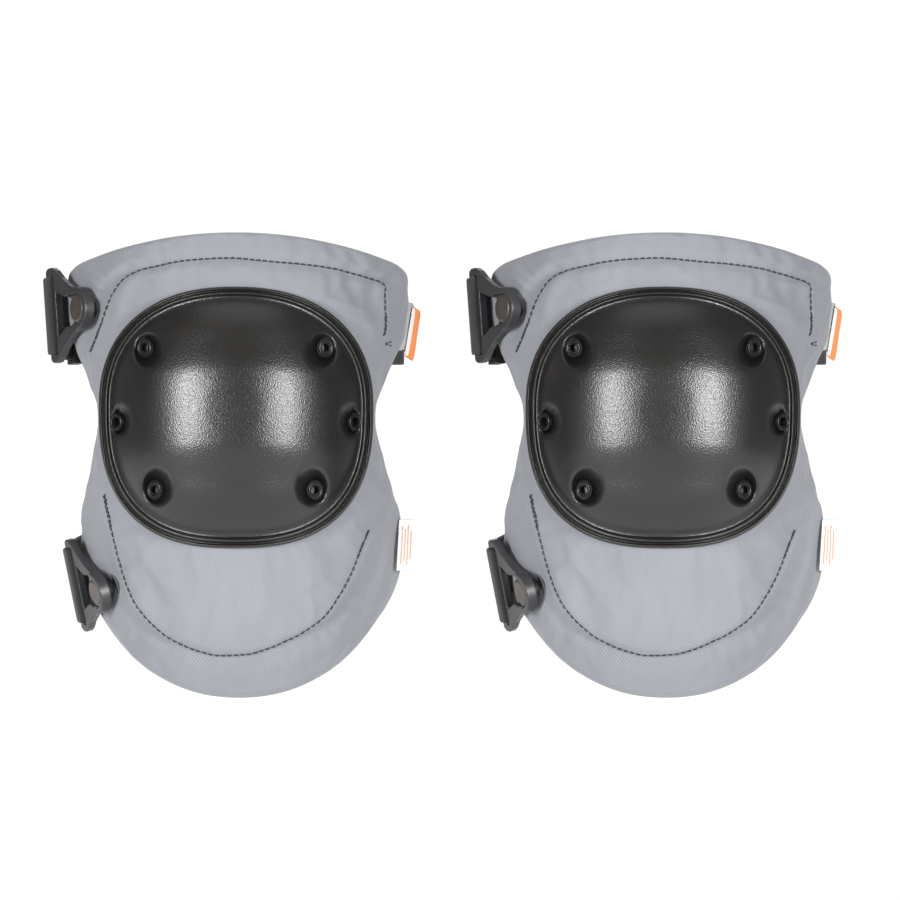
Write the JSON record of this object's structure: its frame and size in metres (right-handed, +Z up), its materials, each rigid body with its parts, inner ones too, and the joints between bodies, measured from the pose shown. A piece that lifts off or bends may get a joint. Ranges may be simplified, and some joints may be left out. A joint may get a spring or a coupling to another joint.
{
  "type": "knee pads",
  "caption": "Pair of hard-cap knee pads: curved padded fabric bodies with riveted plastic caps, each held on by elastic straps that hook over studs.",
  "frame": {"origin": "midway between the two pads, level with the middle of their caps, on the line through both knees' centres", "axes": "+X across the pair, +Y back towards the leg, +Z up the leg; the caps face -Y"},
  "size_m": [0.4086, 0.1472, 0.234],
  "materials": {
    "pad_fabric": "fine twill, matte",
    "foam": "closed-cell foam",
    "lining_fabric": "brushed knit, matte",
    "cap_plastic": "fine pebble grain, satin",
    "rivet_metal": "black, satin",
    "washer_metal": "plain steel",
    "base_plastic": "black, matte",
    "stud_metal": "gun-metal, satin",
    "hook_plastic": "dark grey, moulded, satin",
    "elastic_webbing": "ribbed elastic, matte",
    "keeper_plastic": "black, matte",
    "label_orange": "woven, soft",
    "label_white": "satin ribbon"
  },
  "bodies": {
    "left_pad": {"left_cover": "pad_fabric", "left_foam": "foam", "left_lining": "lining_fabric", "left_knee_cushion": "lining_fabric", "left_cap": "cap_plastic", "left_cap_rivets": "rivet_metal", "left_rivet_washers": "washer_metal", "left_upper_stud_base": "base_plastic", "left_lower_stud_base": "base_plastic", "left_upper_stud": "stud_metal", "left_lower_stud": "stud_metal", "left_stud_washers": "washer_metal", "left_upper_strap": "elastic_webbing", "left_lower_strap": "elastic_webbing", "left_strap_tab": "pad_fabric", "left_edge_label": "label_orange", "left_care_label": "label_white"},
    "left_upper_strap_end": {"left_upper_strap_end": "elastic_webbing"},
    "left_upper_hook": {"left_upper_hook": "hook_plastic", "left_upper_strap_loop": "elastic_webbing"},
    "left_upper_keeper": {"left_upper_keeper": "keeper_plastic"},
    "left_lower_strap_end": {"left_lower_strap_end": "elastic_webbing"},
    "left_lower_hook": {"left_lower_hook": "hook_plastic", "left_lower_strap_loop": "elastic_webbing"},
    "left_lower_keeper": {"left_lower_keeper": "keeper_plastic"},
    "right_pad": {"right_cover": "pad_fabric", "right_foam": "foam", "right_lining": "lining_fabric", "right_knee_cushion": "lining_fabric", "right_cap": "cap_plastic", "right_cap_rivets": "rivet_metal", "right_rivet_washers": "washer_metal", "right_upper_stud_base": "base_plastic", "right_lower_stud_base": "base_plastic", "right_upper_stud": "stud_metal", "right_lower_stud": "stud_metal", "right_stud_washers": "washer_metal", "right_upper_strap": "elastic_webbing", "right_lower_strap": "elastic_webbing", "right_strap_tab": "pad_fabric", "right_edge_label": "label_orange", "right_care_label": "label_white"},
    "right_upper_strap_end": {"right_upper_strap_end": "elastic_webbing"},
    "right_upper_hook": {"right_upper_hook": "hook_plastic", "right_upper_strap_loop": "elastic_webbing"},
    "right_upper_keeper": {"right_upper_keeper": "keeper_plastic"},
    "right_lower_strap_end": {"right_lower_strap_end": "elastic_webbing"},
    "right_lower_hook": {"right_lower_hook": "hook_plastic", "right_lower_strap_loop": "elastic_webbing"},
    "right_lower_keeper": {"right_lower_keeper": "keeper_plastic"}
  },
  "joints": [
    {"name": "left_upper_swivel", "type": "hinge", "parent": "left_pad", "child": "left_upper_strap_end", "pos_m": [-0.18284, -0.02456, 0.05511], "axis": [-0.8387, -0.5446, 0], "range_deg": [-8, 8], "stiffness_Nm_per_rad": 0.4},
    {"name": "left_upper_release", "type": "slide", "parent": "left_upper_strap_end", "child": "left_upper_hook", "axis": [0.4494, -0.8839, 0.1298], "range_m": [0, 0.013], "stiffness_N_per_m": 300},
    {"name": "left_upper_keeper_slide", "type": "slide", "parent": "left_upper_strap_end", "child": "left_upper_keeper", "axis": [0.7884, 0.615, -0.0114], "range_m": [0, 0.007]},
    {"name": "left_lower_swivel", "type": "hinge", "parent": "left_pad", "child": "left_lower_strap_end", "pos_m": [-0.17351, -0.02221, -0.0867], "axis": [-0.8824, -0.3929, -0.2588], "range_deg": [-8, 8], "stiffness_Nm_per_rad": 0.4},
    {"name": "left_lower_release", "type": "slide", "parent": "left_lower_strap_end", "child": "left_lower_hook", "axis": [0.3379, -0.9301, -0.1441], "range_m": [0, 0.013], "stiffness_N_per_m": 300},
    {"name": "left_lower_keeper_slide", "type": "slide", "parent": "left_lower_strap_end", "child": "left_lower_keeper", "axis": [0.8414, 0.4693, 0.2681], "range_m": [0, 0.007]},
    {"name": "right_upper_swivel", "type": "hinge", "parent": "right_pad", "child": "right_upper_strap_end", "pos_m": [0.03166, -0.02456, 0.05511], "axis": [-0.8387, -0.5446, 0], "range_deg": [-8, 8], "stiffness_Nm_per_rad": 0.4},
    {"name": "right_upper_release", "type": "slide", "parent": "right_upper_strap_end", "child": "right_upper_hook", "axis": [0.4494, -0.8839, 0.1298], "range_m": [0, 0.013], "stiffness_N_per_m": 300},
    {"name": "right_upper_keeper_slide", "type": "slide", "parent": "right_upper_strap_end", "child": "right_upper_keeper", "axis": [0.7884, 0.615, -0.0114], "range_m": [0, 0.007]},
    {"name": "right_lower_swivel", "type": "hinge", "parent": "right_pad", "child": "right_lower_strap_end", "pos_m": [0.04099, -0.02221, -0.0867], "axis": [-0.8824, -0.3929, -0.2588], "range_deg": [-8, 8], "stiffness_Nm_per_rad": 0.4},
    {"name": "right_lower_release", "type": "slide", "parent": "right_lower_strap_end", "child": "right_lower_hook", "axis": [0.3379, -0.9301, -0.1441], "range_m": [0, 0.013], "stiffness_N_per_m": 300},
    {"name": "right_lower_keeper_slide", "type": "slide", "parent": "right_lower_strap_end", "child": "right_lower_keeper", "axis": [0.8414, 0.4693, 0.2681], "range_m": [0, 0.007]},
    {"name": "pair_lift", "type": "slide", "parent": "left_pad", "child": "right_pad", "axis": [0, 0, 1], "range_m": [0, 0.25]}
  ]
}
